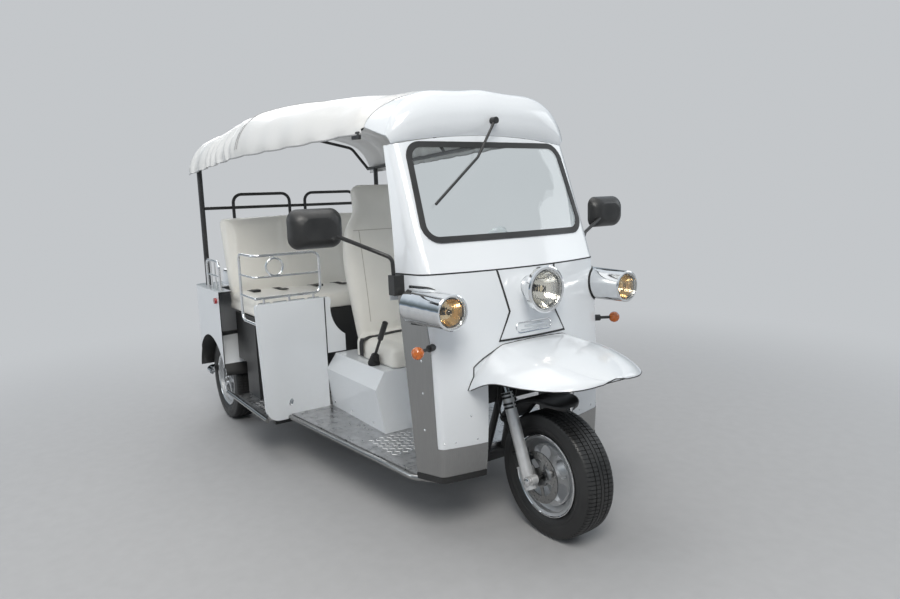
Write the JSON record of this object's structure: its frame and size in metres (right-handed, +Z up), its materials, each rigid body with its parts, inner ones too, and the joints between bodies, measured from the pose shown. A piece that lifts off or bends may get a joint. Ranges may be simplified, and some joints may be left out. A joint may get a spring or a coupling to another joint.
{
  "type": "auto rickshaw",
  "caption": "Modern auto rickshaw: a steered front wheel under a bill-shaped fender, a centre driver seat behind a wide windscreen, a rear bench and a canvas roof on a tube frame.",
  "frame": {"origin": "on the ground, below the middle of the overall length and width", "axes": "+X towards the front of the vehicle, +Y to its left, +Z up"},
  "size_m": [3.249, 1.892, 2.0599],
  "materials": {
    "white_paint": "gloss",
    "black_paint": "satin",
    "stainless": "polished",
    "chrome_plate": "polished",
    "clear_glass": "gloss",
    "black_rubber": "matte",
    "amber_plastic": "gloss",
    "red_plastic": "gloss",
    "black_plastic": "satin",
    "canvas": "matte",
    "chequer_plate": "chequered",
    "seat_vinyl": "satin",
    "silver_metal": "satin",
    "cast_metal": "painted",
    "spring_steel": "satin",
    "tyre_rubber": "matte"
  },
  "bodies": {
    "chassis": {"lower_cowl": "white_paint", "upper_cowl": "white_paint", "nose_panel": "white_paint", "body_seals": "black_rubber", "front_fender": "white_paint", "steel_strips": "stainless", "windscreen_glass": "clear_glass", "windscreen_gasket": "black_rubber", "lamp_shells": "chrome_plate", "lamp_lenses": "clear_glass", "turn_signals": "amber_plastic", "mirrors": "black_plastic", "wiper": "black_plastic", "roof_cap": "white_paint", "roof_frame": "black_paint", "canopy": "canvas", "chassis_frame": "black_paint", "floor_plates": "chequer_plate", "floor_edges": "stainless", "front_inner_arch": "black_plastic", "dashboard": "white_paint", "driver_pedestal": "white_paint", "driver_seat": "seat_vinyl", "handbrake": "black_plastic", "bulkheads": "white_paint", "passenger_guards": "chrome_plate", "bench_base": "black_paint", "battery_block": "black_plastic", "bench_cushion": "seat_vinyl", "bench_back": "seat_vinyl", "headrest_hoops": "black_paint", "rear_body": "white_paint", "rear_lamps": "red_plastic", "rear_bumper": "chrome_plate", "number_plate": "white_paint", "rear_axle": "cast_metal", "leaf_springs": "spring_steel"},
    "steering": {"front_fork": "silver_metal", "front_mudguard": "black_plastic", "handlebar": "black_paint"},
    "front_wheel": {"front_tyre": "tyre_rubber", "front_rim": "silver_metal", "brake_disc": "stainless"},
    "rear_wheel_right": {"rear_tyre_right": "tyre_rubber", "rear_rim_right": "silver_metal"},
    "rear_wheel_left": {"rear_tyre_left": "tyre_rubber", "rear_rim_left": "silver_metal"}
  },
  "joints": [
    {"name": "steering_turn", "type": "hinge", "parent": "chassis", "child": "steering", "pos_m": [1.257, 0, 0.275], "axis": [-0.3584, 0, 0.9336], "range_deg": [-35, 35]},
    {"name": "front_wheel_spin", "type": "hinge", "parent": "steering", "child": "front_wheel", "pos_m": [1.285, 0, 0.275], "axis": [0, 1, 0], "continuous": true},
    {"name": "rear_wheel_right_spin", "type": "hinge", "parent": "chassis", "child": "rear_wheel_right", "pos_m": [-1.285, -0.6, 0.275], "axis": [0, 1, 0], "continuous": true},
    {"name": "rear_wheel_left_spin", "type": "hinge", "parent": "chassis", "child": "rear_wheel_left", "pos_m": [-1.285, 0.6, 0.275], "axis": [0, 1, 0], "continuous": true}
  ]
}
